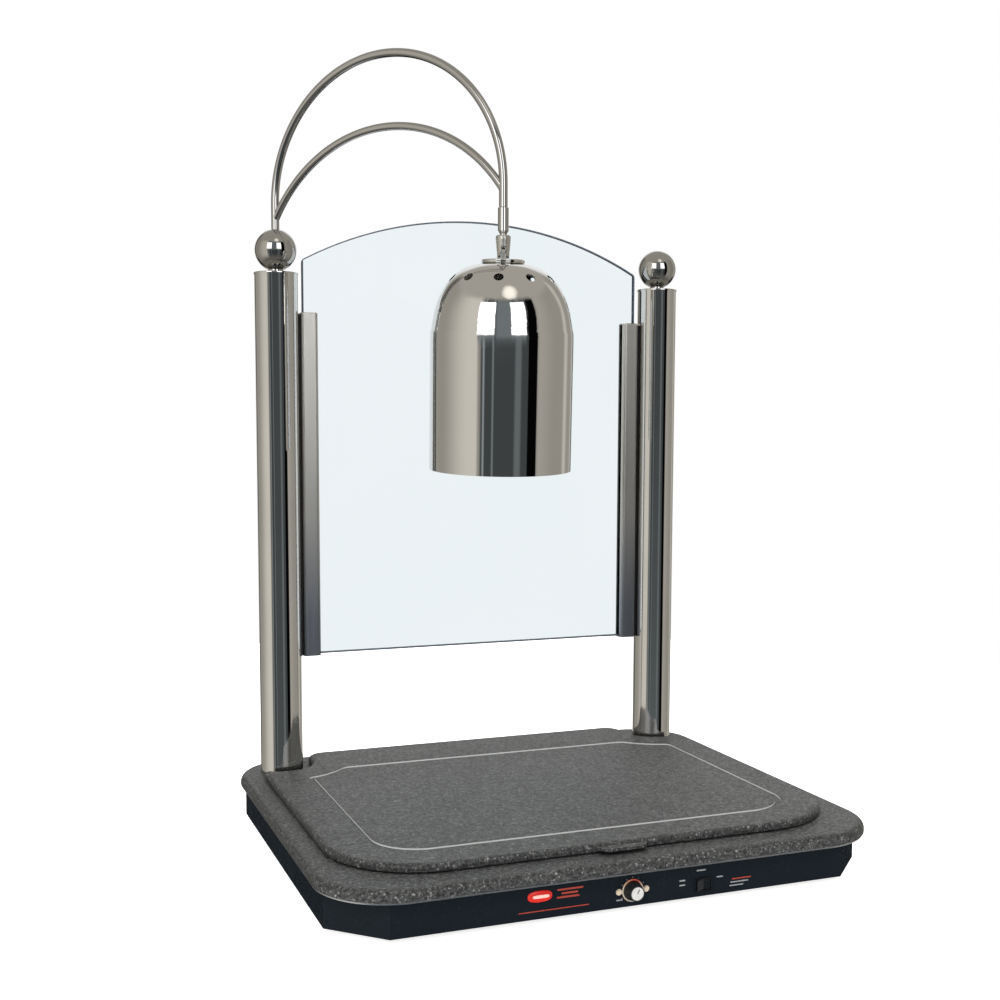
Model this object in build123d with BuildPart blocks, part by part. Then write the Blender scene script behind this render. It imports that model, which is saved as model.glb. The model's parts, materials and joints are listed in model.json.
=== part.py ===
from build123d import *
from math import cos, radians, sin, sqrt
import os

os.makedirs("parts", exist_ok=True)

# ---------------------------------------------------------------- frame
# Z up, X to the right, Y to the back. The origin is at the middle of the
# footprint, on the surface that the feet stand on. Millimetres.

# ---------------------------------------------------------------- heated base
FOOT_H = 5.0
FOOT_R = 15.0
FOOT_X = 215.0
FOOT_Y = 175.0
FOOT_SCREW_R = 2.0
FOOT_RECESS_R = 4.6
FOOT_RECESS_DEPTH = 2.6
FOOT_HEAD_R = 4.2
FOOT_HEAD_T = 2.0
FOOT_SCREW_TOP = 8.5

BOX_W = 594.6
BOX_D = 503.8
BOX_CORNER = 50.8
BOX_Z0 = FOOT_H
BOX_Z1 = 41.0
SHEET = 1.2
TOP_FLANGE = 20.0
LOW_FLANGE = 16.0
PLATE_T = 1.4
PLATE_GAP = 0.2
FLANGE_Z = BOX_Z0 + PLATE_T

PLATE_SCREW_R = 1.6
PLATE_HEAD_R = 3.2
PLATE_HEAD_T = 1.0
PLATE_SCREW_TOP = 9.5
PLATE_SCREW_X = 288.0
PLATE_SCREW_Y = 242.7
PLATE_SCREWS = [(x, y * PLATE_SCREW_Y) for x in (-150.0, 150.0) for y in (-1, 1)]
PLATE_SCREWS += [(x * PLATE_SCREW_X, y) for x in (-1, 1) for y in (-100.0, 100.0)]
PLATE_VENT_DX = 120.0
PLATE_VENT_DY = 13.0
PLATE_VENT_COLUMNS = 3
PLATE_VENT_ROWS = 6
VENT_L = 44.0
VENT_W = 5.0

DECK_T = 1.6
DECK_INSET = 1.3
SLAB_W = 609.6
SLAB_D = 527.0
SLAB_R = 78.0
SLAB_T = 12.0
SLAB_TOP_ROUND = 8.0
SLAB_LOW_ROUND = 1.0
SLAB_Z0 = BOX_Z1 + DECK_T
SLAB_Z1 = SLAB_Z0 + SLAB_T

HEAT_X = 440.0
HEAT_Y = 330.0
HEAT_CY = -15.0
HEAT_T = 2.1
PAD_T = 11.9
PAN_WALL = 1.0
PAN_FLANGE = 12.0
PAN_FLOOR = 1.2
PAN_SCREW_R = 2.0
PAN_HEAD_R = 3.6
PAN_HEAD_T = 1.8

# ---------------------------------------------------------------- posts
POST_X = 252.8
POST_Y = 200.0
POST_R = 25.5
POST_WALL = 2.0
POST_Z1 = 653.4
PLUG_L = 20.0
BOLT_R = 5.0
LEAD_BORE = 2.2
BOLT_Z0 = 28.0
BOLT_Z1 = SLAB_Z1 + PLUG_L
NUT_AF = 17.0
NUT_T = 8.0
WASHER_R = 11.6
WASHER_T = 3.0
CAP_R = 26.2
CAP_T = 3.0
CAP_SPIGOT_L = 8.4
CAP_EDGE = 0.8
BALL_R = 24.6
BALL_Z = 682.6
BALL_NECK_R = 9.0
STUD_R = 4.0
STUD_Z1 = 667.0

# ---------------------------------------------------------------- glass
GLASS_Y = 205.0
GLASS_T = 6.0
GLASS_HALF = 221.0
GLASS_Z0 = 197.0
GLASS_SHOULDER = 674.0
GLASS_TOP = 730.5
GLASS_TOP_ROUND = 6.0
GLASS_LOW_ROUND = 2.0
CH_IN = 203.4
CH_OUT = 224.5
CH_D = 19.5
CH_ROUND = 4.0
CH_TOP_ROUND = 2.4
CH_Z0 = 195.4
CH_Z1 = 611.5
SLOT_W = 8.4
SLOT_X = 222.2
GASKET_T = 1.2
GASKET_SET = 1.0
SPACER_W = 8.0
CH_SCREW_R = 1.5
CH_HEAD_R = 3.0
CH_HEAD_T = 1.5
CH_SCREW_END = 232.0
CH_SCREW_Z = (240.0, 404.0, 570.0)

# ---------------------------------------------------------------- carving board
BOARD_HALF = 281.0
BOARD_FRONT = -229.6
BOARD_BACK = 239.0
BOARD_GAP = 1.2
BOARD_T = 8.6
BOARD_Z0 = SLAB_Z1 + BOARD_GAP
BOARD_Z1 = BOARD_Z0 + BOARD_T
BOARD_R = 100.0
NOTCH_R = 37.0
TONGUE_R = 22.0
EAR_R = 6.0
BOARD_TOP_ROUND = 4.6
BOARD_LOW_ROUND = 1.4
GROOVE_HALF = 238.2
GROOVE_FRONT = -187.4
GROOVE_BACK = 154.2
GROOVE_R = 56.0
GROOVE_NOTCH_R = 80.0
GROOVE_W = 6.2
GROOVE_DEPTH = 1.6
GROOVE_SIDE_ROUND = 9.0
GROOVE_BACK_ROUND = 18.0
TAB_HALF = 26.5
TAB_OUT = 11.8
TAB_Z0 = SLAB_Z1 + 4.3
TAB_T = 3.2
TAB_R = 10.0
TAB_RIM = 1.8
TAB_DISH = 0.5
TAB_OVERLAP = 7.0
PAD_R = 8.0
PAD_SPOTS = [(x, y) for x in (-200.0, 0.0, 200.0) for y in (-190.0, 120.0)]

# ---------------------------------------------------------------- controls
KNOB_X = 2.0
KNOB_Z = 21.0
KNOB_R = 9.5
KNOB_FRONT_R = 7.7
KNOB_SKIRT = 3.0
KNOB_GAP = 0.4
KNOB_L = 11.2
KNOB_BORE = 3.05
KNOB_BORE_L = 7.5
FACE_R = 6.6
FACE_T = 0.7
POINTER_W = 1.2
POINTER_L = 4.8
POINTER_TURN = -27.0
SHAFT_R = 3.0
SHAFT_L = 26.0
SHAFT_HOLE = 4.0
BEZEL_R0 = 10.1
BEZEL_R1 = 11.5
BEZEL_T = 0.5
EAR_X = 15.0
BEZEL_EAR_R = 3.2
STAT_W = 36.0
STAT_D = 26.0
STAT_H = 24.0
STAT_BORE = 3.1
STAT_SCREW_R = 1.5
STAT_SCREW_L = 8.0
STAT_HEAD_R = 2.6
STAT_HEAD_T = 1.2

SWITCH_X = 81.5
SWITCH_Z = 17.0
FRAME_W = 20.6
FRAME_H = 14.2
FRAME_T = 1.0
HOUSING_W = 18.8
HOUSING_H = 12.2
HOUSING_L = 20.0
WINDOW_W = 17.6
WINDOW_H = 11.2
WINDOW_L = 9.0
ROCKER_HALF = 8.2
ROCKER_H = 10.4
ROCKER_TILT = 8.0
ROCKER_PIVOT = 1.5
ROCKER_END = 2.8
ROCKER_WAIST = 1.6
ROCKER_BACK = 2.4
ROCKER_CREST = 4.0
ROCKER_CREST_HALF = 3.0
ROCKER_TAPER = 0.4

# ---------------------------------------------------------------- supply entry
GLAND_X = -180.0
GLAND_Z = 22.0
GLAND_THREAD_R = 6.0
GLAND_FLANGE_R = 8.5
GLAND_DOME_R = 6.6
GLAND_CHAMFER_R = 0.6
GLAND_CHAMFER_Y = 2.0
GLAND_LIP_R = 0.8
GLAND_BORE_R = 3.6
GLAND_OUT = 11.0
GLAND_FLANGE_T = 4.2
GLAND_IN = 14.0
LOCKNUT_T = 4.0
TERMINAL_X = -120.0
TERMINAL_Y = 215.0
TERMINAL_W = 44.0
TERMINAL_D = 18.0
TERMINAL_H = 14.0
TERMINAL_WELL_R = 2.6
TERMINAL_WELLS = 4

# ---------------------------------------------------------------- lamp arm
ARM_TURN = -50.0
ARM_R = 154.1
ARM_Z0 = 677.0
ARM_SPRING = 735.8
ARM_TUBE_R = 4.76
ARM_TUBE_IN = 3.5
ARM_END = 690.0
ARM_SOCKET_R = ARM_TUBE_R + 0.06
ARM_SOCKET_Z = ARM_Z0 - 0.3
BRACE_D = 157.6
BRACE_Z = 628.9
BRACE_R = 181.0
BRACE_START = 33.7
BRACE_END = 150.3
BRACE_TUBE_R = 4.5
BRACE_TUBE_IN = 3.3
LEAD_R = 2.0
SLEEVE_TOP = 711.0
SLEEVE_R = 5.9
SLEEVE_NECK = 686.0
SLEEVE_NECK_R = 3.9
SLEEVE_TOP_CHAMFER = 0.8
SLEEVE_NECK_RISE = 1.2
SLEEVE_Z0 = 681.6
FORK_TOP_R = 8.1
FORK_NECK_IN = 0.8
FORK_NECK_DROP = 0.6
FORK_LOW_R = 6.5
FORK_SHOULDER = 1.6
PIN_Z = 663.8
FORK_END_R = 6.3
FORK_SLOT = 5.2
FORK_SLOT_TOP = 669.0
PIN_R = 2.0
PIN_TURN = -21.0
PIN_ROLL = -0.7

# ---------------------------------------------------------------- lamp
LAMP_LEAN = 4.0
BLADE_T = 4.6
BLADE_R = 4.7
BLADE_BORE = 2.06
HUB_R = 6.5
HUB_H1 = -6.8
HUB_H0 = -8.0
CAP_DISC_R = 23.8
CAP_DISC_H0 = -12.6
CAP_DISC_ROUND = 0.42
SHADE_R = 78.2
SHADE_T = 1.2
SHADE_SPRING = -104.0
SHADE_RIM = -234.7
SHADE_DOME = [(16.0, -12.6), (31.0, -14.0), (46.2, -20.5), (57.4, -30.2)]
SHADE_DOME += [(66.0, -43.2), (73.4, -62.6), (77.1, -82.0), (SHADE_R, SHADE_SPRING)]
NIPPLE_R = 5.0
NIPPLE_IN = 2.4
NIPPLE_END = -32.0
VENT_COUNT = 10
VENT_RING = 55.5
VENT_H = -28.3
VENT_SLOPE = 48.0
VENT_R = 5.25
VENT_TURN = -94.2
LAMP_NUT_H1 = -13.9
LAMP_NUT_H0 = -17.9
LAMP_NUT_AF = 14.0
SOCKET_R = 20.0
SOCKET_H1 = -24.0
SOCKET_H0 = -64.0
SOCKET_CAVITY_R = 13.3
SOCKET_CAVITY_TOP = -36.0
BULB_BASE_TOP = -38.0
BULB_NECK = -66.0
BULB_OUTER = [(16.0, -66.0), (21.0, -88.0), (36.0, -114.0), (57.0, -143.0), (63.5, -168.0)]
BULB_FACE = [(63.5, -168.0), (56.0, -188.0), (32.0, -201.0), (0.0, -206.0)]
BULB_WALL = 1.4

# ================================================================ helpers


def hexagon_part(centre, plane, across_flats, thickness, bore):
    # A plain hexagon nut with a round bore, its lower face on the plane.
    with BuildPart() as nut:
        with BuildSketch(plane):
            with Locations(centre):
                RegularPolygon(across_flats / 2, 6, major_radius=False)
                Circle(bore, mode=Mode.SUBTRACT)
        extrude(amount=thickness)
    return nut


FRONT = Plane.XZ.offset(BOX_D / 2)
BACK = Plane.XZ.offset(-BOX_D / 2)

# ================================================================ base box

with BuildPart() as base_shell:
    # Chamfered sheet wall, with a flange turned inward at the top and the bottom.
    with BuildSketch(Plane.XY.offset(BOX_Z0)) as box_wall:
        Rectangle(BOX_W, BOX_D)
        chamfer(box_wall.vertices(), BOX_CORNER)
        offset(amount=-SHEET, mode=Mode.SUBTRACT)
    extrude(amount=BOX_Z1 - BOX_Z0)
    with BuildSketch(Plane.XY.offset(BOX_Z1 - SHEET)) as box_top:
        Rectangle(BOX_W, BOX_D)
        chamfer(box_top.vertices(), BOX_CORNER)
        offset(amount=-TOP_FLANGE, mode=Mode.SUBTRACT)
    extrude(amount=SHEET)
    with BuildSketch(Plane.XY.offset(FLANGE_Z)) as box_low:
        Rectangle(BOX_W, BOX_D)
        chamfer(box_low.vertices(), BOX_CORNER)
        offset(amount=-LOW_FLANGE, mode=Mode.SUBTRACT)
        with Locations(PLATE_SCREWS):
            Circle(PLATE_SCREW_R, mode=Mode.SUBTRACT)
    extrude(amount=SHEET)
    with BuildSketch(FRONT):
        with Locations((KNOB_X, KNOB_Z)):
            Circle(SHAFT_HOLE)
        with Locations((KNOB_X - EAR_X, KNOB_Z), (KNOB_X + EAR_X, KNOB_Z)):
            Circle(STAT_SCREW_R)
        with Locations((SWITCH_X, SWITCH_Z)):
            Rectangle(HOUSING_W, HOUSING_H)
    extrude(amount=-SHEET, mode=Mode.SUBTRACT)
    with BuildSketch(BACK):
        with Locations((GLAND_X, GLAND_Z)):
            Circle(GLAND_THREAD_R)
    extrude(amount=SHEET, mode=Mode.SUBTRACT)
base_shell.part.label = "base_shell"

with BuildPart() as bottom_plate:
    with BuildSketch(Plane.XY.offset(BOX_Z0)) as plate_face:
        Rectangle(BOX_W, BOX_D)
        chamfer(plate_face.vertices(), BOX_CORNER)
        offset(amount=-(SHEET + PLATE_GAP), mode=Mode.REPLACE)
        with Locations(PLATE_SCREWS):
            Circle(PLATE_SCREW_R, mode=Mode.SUBTRACT)
        with GridLocations(2 * FOOT_X, 2 * FOOT_Y, 2, 2):
            Circle(FOOT_SCREW_R, mode=Mode.SUBTRACT)
        with GridLocations(PLATE_VENT_DX, PLATE_VENT_DY, PLATE_VENT_COLUMNS, PLATE_VENT_ROWS):
            SlotOverall(VENT_L, VENT_W, mode=Mode.SUBTRACT)
    extrude(amount=PLATE_T)
bottom_plate.part.label = "bottom_plate"

with BuildPart() as bottom_screws:
    with BuildSketch(Plane.XY.offset(BOX_Z0 - PLATE_HEAD_T)):
        with Locations(PLATE_SCREWS):
            Circle(PLATE_HEAD_R)
    extrude(amount=PLATE_HEAD_T)
    with BuildSketch(Plane.XY.offset(BOX_Z0)):
        with Locations(PLATE_SCREWS):
            Circle(PLATE_SCREW_R)
    extrude(amount=PLATE_SCREW_TOP - BOX_Z0)
bottom_screws.part.label = "bottom_screws"

with BuildPart() as rubber_feet:
    with BuildSketch(Plane.XY):
        with GridLocations(2 * FOOT_X, 2 * FOOT_Y, 2, 2):
            Circle(FOOT_R)
            Circle(FOOT_SCREW_R, mode=Mode.SUBTRACT)
    extrude(amount=FOOT_H)
    with BuildSketch(Plane.XY):
        with GridLocations(2 * FOOT_X, 2 * FOOT_Y, 2, 2):
            Circle(FOOT_RECESS_R)
    extrude(amount=FOOT_RECESS_DEPTH, mode=Mode.SUBTRACT)
rubber_feet.part.label = "rubber_feet"

with BuildPart() as foot_screws:
    with BuildSketch(Plane.XY.offset(FOOT_RECESS_DEPTH - FOOT_HEAD_T)):
        with GridLocations(2 * FOOT_X, 2 * FOOT_Y, 2, 2):
            Circle(FOOT_HEAD_R)
    extrude(amount=FOOT_HEAD_T)
    with BuildSketch(Plane.XY.offset(FOOT_RECESS_DEPTH)):
        with GridLocations(2 * FOOT_X, 2 * FOOT_Y, 2, 2):
            Circle(FOOT_SCREW_R)
    extrude(amount=FOOT_SCREW_TOP - FOOT_RECESS_DEPTH)
foot_screws.part.label = "foot_screws"

# ================================================================ deck, stone and heater

PAN_W = HEAT_X + 2 * PAN_WALL
PAN_D = HEAT_Y + 2 * PAN_WALL
PAN_OUT_W = PAN_W + 2 * PAN_FLANGE
PAN_OUT_D = PAN_D + 2 * PAN_FLANGE
PAN_HOLE_X = PAN_W + PAN_FLANGE
PAN_HOLE_Y = 240.0
PAN_FLANGE_Z = BOX_Z1 - PAN_FLOOR
PAN_Z0 = BOX_Z1 - HEAT_T - PAD_T - PAN_FLOOR

with BuildPart() as deck_plate:
    # Aluminium plate under the stone; its edge shows as a thin line below the slab.
    with BuildSketch(Plane.XY.offset(BOX_Z1)):
        RectangleRounded(SLAB_W - 2 * DECK_INSET, SLAB_D - 2 * DECK_INSET, SLAB_R - DECK_INSET)
        with Locations((-POST_X, POST_Y), (POST_X, POST_Y)):
            Circle(BOLT_R, mode=Mode.SUBTRACT)
        with Locations((0, HEAT_CY)):
            with GridLocations(PAN_HOLE_X, PAN_HOLE_Y, 2, 2):
                Circle(PAN_SCREW_R, mode=Mode.SUBTRACT)
    extrude(amount=DECK_T)
deck_plate.part.label = "deck_plate"

with BuildPart() as stone_base:
    with BuildSketch(Plane.XY.offset(SLAB_Z0)):
        RectangleRounded(SLAB_W, SLAB_D, SLAB_R)
    extrude(amount=SLAB_T)
    fillet(stone_base.faces().sort_by(Axis.Z)[-1].edges(), SLAB_TOP_ROUND)
    fillet(stone_base.faces().sort_by(Axis.Z)[0].edges(), SLAB_LOW_ROUND)
    with BuildSketch(Plane.XY.offset(SLAB_Z0)):
        with Locations((-POST_X, POST_Y), (POST_X, POST_Y)):
            Circle(BOLT_R)
    extrude(amount=SLAB_T, mode=Mode.SUBTRACT)
stone_base.part.label = "stone_base"

with BuildPart() as heater_blanket:
    with BuildSketch(Plane.XY.offset(BOX_Z1 - HEAT_T)):
        with Locations((0, HEAT_CY)):
            Rectangle(HEAT_X, HEAT_Y)
    extrude(amount=HEAT_T)
heater_blanket.part.label = "heater_blanket"

with BuildPart() as insulation_pad:
    with BuildSketch(Plane.XY.offset(BOX_Z1 - HEAT_T - PAD_T)):
        with Locations((0, HEAT_CY)):
            Rectangle(HEAT_X, HEAT_Y)
    extrude(amount=PAD_T)
insulation_pad.part.label = "insulation_pad"

with BuildPart() as heater_pan:
    # Shallow tray that presses the pad and the heater up against the deck plate.
    with BuildSketch(Plane.XY.offset(PAN_Z0)):
        with Locations((0, HEAT_CY)):
            Rectangle(PAN_W, PAN_D)
    extrude(amount=BOX_Z1 - PAN_Z0)
    with BuildSketch(Plane.XY.offset(PAN_FLANGE_Z)):
        with Locations((0, HEAT_CY)):
            Rectangle(PAN_OUT_W, PAN_OUT_D)
            with GridLocations(PAN_HOLE_X, PAN_HOLE_Y, 2, 2):
                Circle(PAN_SCREW_R, mode=Mode.SUBTRACT)
    extrude(amount=PAN_FLOOR)
    with BuildSketch(Plane.XY.offset(PAN_Z0 + PAN_FLOOR)):
        with Locations((0, HEAT_CY)):
            Rectangle(HEAT_X, HEAT_Y)
    extrude(amount=BOX_Z1 - PAN_Z0, mode=Mode.SUBTRACT)
heater_pan.part.label = "heater_pan"

with BuildPart() as pan_screws:
    with BuildSketch(Plane.XY.offset(PAN_FLANGE_Z - PAN_HEAD_T)):
        with Locations((0, HEAT_CY)):
            with GridLocations(PAN_HOLE_X, PAN_HOLE_Y, 2, 2):
                Circle(PAN_HEAD_R)
    extrude(amount=PAN_HEAD_T)
    with BuildSketch(Plane.XY.offset(PAN_FLANGE_Z)):
        with Locations((0, HEAT_CY)):
            with GridLocations(PAN_HOLE_X, PAN_HOLE_Y, 2, 2):
                Circle(PAN_SCREW_R)
    extrude(amount=PAN_FLOOR + DECK_T)
pan_screws.part.label = "pan_screws"

# ================================================================ controls

KNOB_AXIS = Axis((KNOB_X, 0, KNOB_Z), (0, 1, 0))
KNOB_PLANE = Plane.XY.offset(KNOB_Z)
PANEL_Y = -BOX_D / 2
KNOB_Y0 = PANEL_Y - KNOB_GAP
KNOB_Y1 = PANEL_Y - KNOB_L

with BuildPart() as knob_bezel:
    # Dial ring with an ear on each side for the thermostat's screws.
    with BuildSketch(FRONT):
        with Locations((KNOB_X, KNOB_Z)):
            Circle(BEZEL_R1)
        with Locations((KNOB_X - EAR_X, KNOB_Z), (KNOB_X + EAR_X, KNOB_Z)):
            Circle(BEZEL_EAR_R)
        with Locations((KNOB_X, KNOB_Z)):
            Rectangle(2 * EAR_X, 2 * STAT_SCREW_R)
            Circle(BEZEL_R0, mode=Mode.SUBTRACT)
        with Locations((KNOB_X - EAR_X, KNOB_Z), (KNOB_X + EAR_X, KNOB_Z)):
            Circle(STAT_SCREW_R, mode=Mode.SUBTRACT)
    extrude(amount=BEZEL_T)
knob_bezel.part.label = "knob_bezel"

with BuildPart() as thermostat_body:
    with BuildSketch(FRONT.offset(-SHEET)):
        with Locations((KNOB_X, KNOB_Z)):
            Rectangle(STAT_W, STAT_H)
            Circle(STAT_BORE, mode=Mode.SUBTRACT)
        with Locations((KNOB_X - EAR_X, KNOB_Z), (KNOB_X + EAR_X, KNOB_Z)):
            Circle(STAT_SCREW_R, mode=Mode.SUBTRACT)
    extrude(amount=-STAT_D)
thermostat_body.part.label = "thermostat_body"

with BuildPart() as thermostat_screws:
    with BuildSketch(FRONT.offset(BEZEL_T)):
        with Locations((KNOB_X - EAR_X, KNOB_Z), (KNOB_X + EAR_X, KNOB_Z)):
            Circle(STAT_HEAD_R)
    extrude(amount=STAT_HEAD_T)
    with BuildSketch(FRONT.offset(BEZEL_T)):
        with Locations((KNOB_X - EAR_X, KNOB_Z), (KNOB_X + EAR_X, KNOB_Z)):
            Circle(STAT_SCREW_R)
    extrude(amount=-STAT_SCREW_L)
    fillet(thermostat_screws.faces().filter_by(Axis.Y).group_by(Axis.Y)[0].edges(), STAT_HEAD_T / 2)
thermostat_screws.part.label = "thermostat_screws"

with BuildPart() as knob_body:
    with BuildSketch(KNOB_PLANE):
        with BuildLine():
            Polyline(
                (KNOB_X, KNOB_Y0),
                (KNOB_X + KNOB_R, KNOB_Y0),
                (KNOB_X + KNOB_R, KNOB_Y0 - KNOB_SKIRT),
                (KNOB_X + KNOB_FRONT_R, KNOB_Y1),
                (KNOB_X, KNOB_Y1),
                close=True,
            )
        make_face()
    revolve(axis=KNOB_AXIS)
    fillet(knob_body.faces().filter_by(Axis.Y).sort_by(Axis.Y)[0].edges(), BEZEL_T)
    with BuildSketch(Plane.XZ.offset(-KNOB_Y1)):
        with Locations((KNOB_X, KNOB_Z)):
            Circle(FACE_R)
    extrude(amount=-FACE_T, mode=Mode.SUBTRACT)
    with BuildSketch(Plane.XZ.offset(-KNOB_Y0)):
        with Locations((KNOB_X, KNOB_Z)):
            Circle(KNOB_BORE)
    extrude(amount=KNOB_BORE_L, mode=Mode.SUBTRACT)
knob_body.part.label = "knob_body"

with BuildPart() as knob_face:
    # Bright inlay with a pointer slot.
    with BuildSketch(Plane.XZ.offset(-KNOB_Y1 - FACE_T)):
        with Locations((KNOB_X, KNOB_Z)):
            Circle(FACE_R)
            with Locations(Location((0, 0, 0), POINTER_TURN)):
                with Locations((0, POINTER_L / 2)):
                    Rectangle(POINTER_W, POINTER_L, mode=Mode.SUBTRACT)
    extrude(amount=FACE_T + KNOB_GAP / 2)
knob_face.part.label = "knob_face"

with BuildPart() as control_shaft:
    with BuildSketch(Plane.XZ.offset(-KNOB_Y0 + KNOB_BORE_L - KNOB_GAP)):
        with Locations((KNOB_X, KNOB_Z)):
            Circle(SHAFT_R)
    extrude(amount=-SHAFT_L)
control_shaft.part.label = "control_shaft"

with BuildPart() as switch_housing:
    with BuildSketch(FRONT):
        with Locations((SWITCH_X, SWITCH_Z)):
            RectangleRounded(FRAME_W, FRAME_H, FRAME_T)
    extrude(amount=FRAME_T)
    with BuildSketch(FRONT):
        with Locations((SWITCH_X, SWITCH_Z)):
            Rectangle(HOUSING_W, HOUSING_H)
    extrude(amount=-HOUSING_L)
    with BuildSketch(FRONT.offset(FRAME_T)):
        with Locations((SWITCH_X, SWITCH_Z)):
            Rectangle(WINDOW_W, WINDOW_H)
    extrude(amount=-WINDOW_L, mode=Mode.SUBTRACT)
switch_housing.part.label = "switch_housing"

ROCKER_PLANE = Plane(
    origin=(SWITCH_X, PANEL_Y + ROCKER_PIVOT, SWITCH_Z - ROCKER_H / 2),
    x_dir=(cos(radians(ROCKER_TILT)), sin(radians(ROCKER_TILT)), 0),
    z_dir=(0, 0, 1),
)
with BuildPart() as rocker:
    # Two-faced paddle, rocked to its left-hand end.
    with BuildSketch(ROCKER_PLANE):
        with BuildLine():
            Polyline(
                (-ROCKER_HALF, -ROCKER_END),
                (0, -ROCKER_WAIST),
                (ROCKER_HALF, -ROCKER_END),
                (ROCKER_HALF - ROCKER_TAPER, ROCKER_BACK),
                (ROCKER_CREST_HALF, ROCKER_CREST),
                (-ROCKER_CREST_HALF, ROCKER_CREST),
                (-ROCKER_HALF + ROCKER_TAPER, ROCKER_BACK),
                close=True,
            )
        make_face()
    extrude(amount=ROCKER_H)
rocker.part.label = "rocker"

# ================================================================ supply entry

GLAND_AXIS = Axis((GLAND_X, 0, GLAND_Z), (0, 1, 0))
GLAND_PLANE = Plane.XY.offset(GLAND_Z)
REAR_Y = BOX_D / 2

with BuildPart() as cord_gland:
    with BuildSketch(GLAND_PLANE):
        with BuildLine():
            Polyline(
                (GLAND_X + GLAND_BORE_R, REAR_Y - GLAND_IN),
                (GLAND_X + GLAND_THREAD_R, REAR_Y - GLAND_IN),
                (GLAND_X + GLAND_THREAD_R, REAR_Y),
                (GLAND_X + GLAND_FLANGE_R, REAR_Y),
                (GLAND_X + GLAND_FLANGE_R, REAR_Y + GLAND_FLANGE_T),
                (GLAND_X + GLAND_DOME_R, REAR_Y + GLAND_FLANGE_T),
                (GLAND_X + GLAND_DOME_R - GLAND_CHAMFER_R, REAR_Y + GLAND_OUT - GLAND_CHAMFER_Y),
                (GLAND_X + GLAND_BORE_R + GLAND_LIP_R, REAR_Y + GLAND_OUT),
                (GLAND_X + GLAND_BORE_R, REAR_Y + GLAND_OUT),
                close=True,
            )
        make_face()
    revolve(axis=GLAND_AXIS)
cord_gland.part.label = "cord_gland"

gland_locknut = hexagon_part(
    (GLAND_X, GLAND_Z), Plane.XZ.offset(-(REAR_Y - SHEET)), 2 * GLAND_FLANGE_R, LOCKNUT_T, GLAND_THREAD_R
)
gland_locknut.part.label = "gland_locknut"

with BuildPart() as terminal_block:
    with BuildSketch(Plane.XY.offset(FLANGE_Z)):
        with Locations((TERMINAL_X, TERMINAL_Y)):
            Rectangle(TERMINAL_W, TERMINAL_D)
    extrude(amount=TERMINAL_H)
    with BuildSketch(Plane.XY.offset(FLANGE_Z + TERMINAL_H)):
        with Locations((TERMINAL_X, TERMINAL_Y)):
            with GridLocations(TERMINAL_W / TERMINAL_WELLS, TERMINAL_D / 2, TERMINAL_WELLS, 2):
                Circle(TERMINAL_WELL_R)
    extrude(amount=-TERMINAL_H / 2, mode=Mode.SUBTRACT)
terminal_block.part.label = "terminal_block"

# ================================================================ posts


def make_post(side):
    with BuildPart() as post:
        with BuildSketch(Plane.XY.offset(SLAB_Z1)):
            with Locations((side * POST_X, POST_Y)):
                Circle(POST_R)
                Circle(POST_R - POST_WALL, mode=Mode.SUBTRACT)
        extrude(amount=POST_Z1 - SLAB_Z1)
        with BuildSketch(Plane.YZ.offset(side * CH_OUT)):
            with Locations([(GLASS_Y, z) for z in CH_SCREW_Z]):
                Circle(CH_SCREW_R)
        extrude(amount=side * POST_R / 2, mode=Mode.SUBTRACT)
    return post


def make_cap(side):
    with BuildPart() as cap:
        with BuildSketch(Plane.XY.offset(POST_Z1)):
            with Locations((side * POST_X, POST_Y)):
                Circle(CAP_R)
        extrude(amount=CAP_T)
        fillet(cap.faces().sort_by(Axis.Z)[-1].edges(), CAP_EDGE)
        with BuildSketch(Plane.XY.offset(POST_Z1)):
            with Locations((side * POST_X, POST_Y)):
                Circle(POST_R - POST_WALL)
        extrude(amount=-CAP_SPIGOT_L)
        with BuildSketch(Plane.XY.offset(POST_Z1 - CAP_SPIGOT_L)):
            with Locations((side * POST_X, POST_Y)):
                Circle(STUD_R)
        extrude(amount=CAP_SPIGOT_L + CAP_T, mode=Mode.SUBTRACT)
    return cap


def make_ball(side, socket):
    cap_top = POST_Z1 + CAP_T
    with BuildPart() as ball:
        with Locations((side * POST_X, POST_Y, BALL_Z)):
            Sphere(BALL_R)
        with BuildSketch(Plane.XY.offset(cap_top)):
            with Locations((side * POST_X, POST_Y)):
                Circle(BALL_NECK_R)
        extrude(amount=BALL_R / 2)
        with BuildSketch(Plane.XY.offset(cap_top)):
            with Locations((side * POST_X, POST_Y)):
                Circle(STUD_R)
        extrude(amount=STUD_Z1 - cap_top, mode=Mode.SUBTRACT)
        if socket:
            with BuildSketch(Plane.XY.offset(ARM_SOCKET_Z)):
                with Locations((side * POST_X, POST_Y)):
                    Circle(ARM_SOCKET_R)
            extrude(amount=2 * BALL_R, mode=Mode.SUBTRACT)
            with BuildSketch(Plane.XY.offset(cap_top)):
                with Locations((side * POST_X, POST_Y)):
                    Circle(LEAD_BORE)
            extrude(amount=BALL_R, mode=Mode.SUBTRACT)
    return ball


left_post = make_post(-1)
left_post.part.label = "left_post"
right_post = make_post(1)
right_post.part.label = "right_post"
left_cap = make_cap(-1)
left_cap.part.label = "left_cap"
right_cap = make_cap(1)
right_cap.part.label = "right_cap"
left_ball = make_ball(-1, True)
left_ball.part.label = "left_ball"
right_ball = make_ball(1, False)
right_ball.part.label = "right_ball"

with BuildPart() as ball_studs:
    with BuildSketch(Plane.XY.offset(POST_Z1 - CAP_SPIGOT_L)):
        with Locations((-POST_X, POST_Y), (POST_X, POST_Y)):
            Circle(STUD_R)
            Circle(LEAD_BORE, mode=Mode.SUBTRACT)
    extrude(amount=STUD_Z1 - POST_Z1 + CAP_SPIGOT_L)
ball_studs.part.label = "ball_studs"

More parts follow.
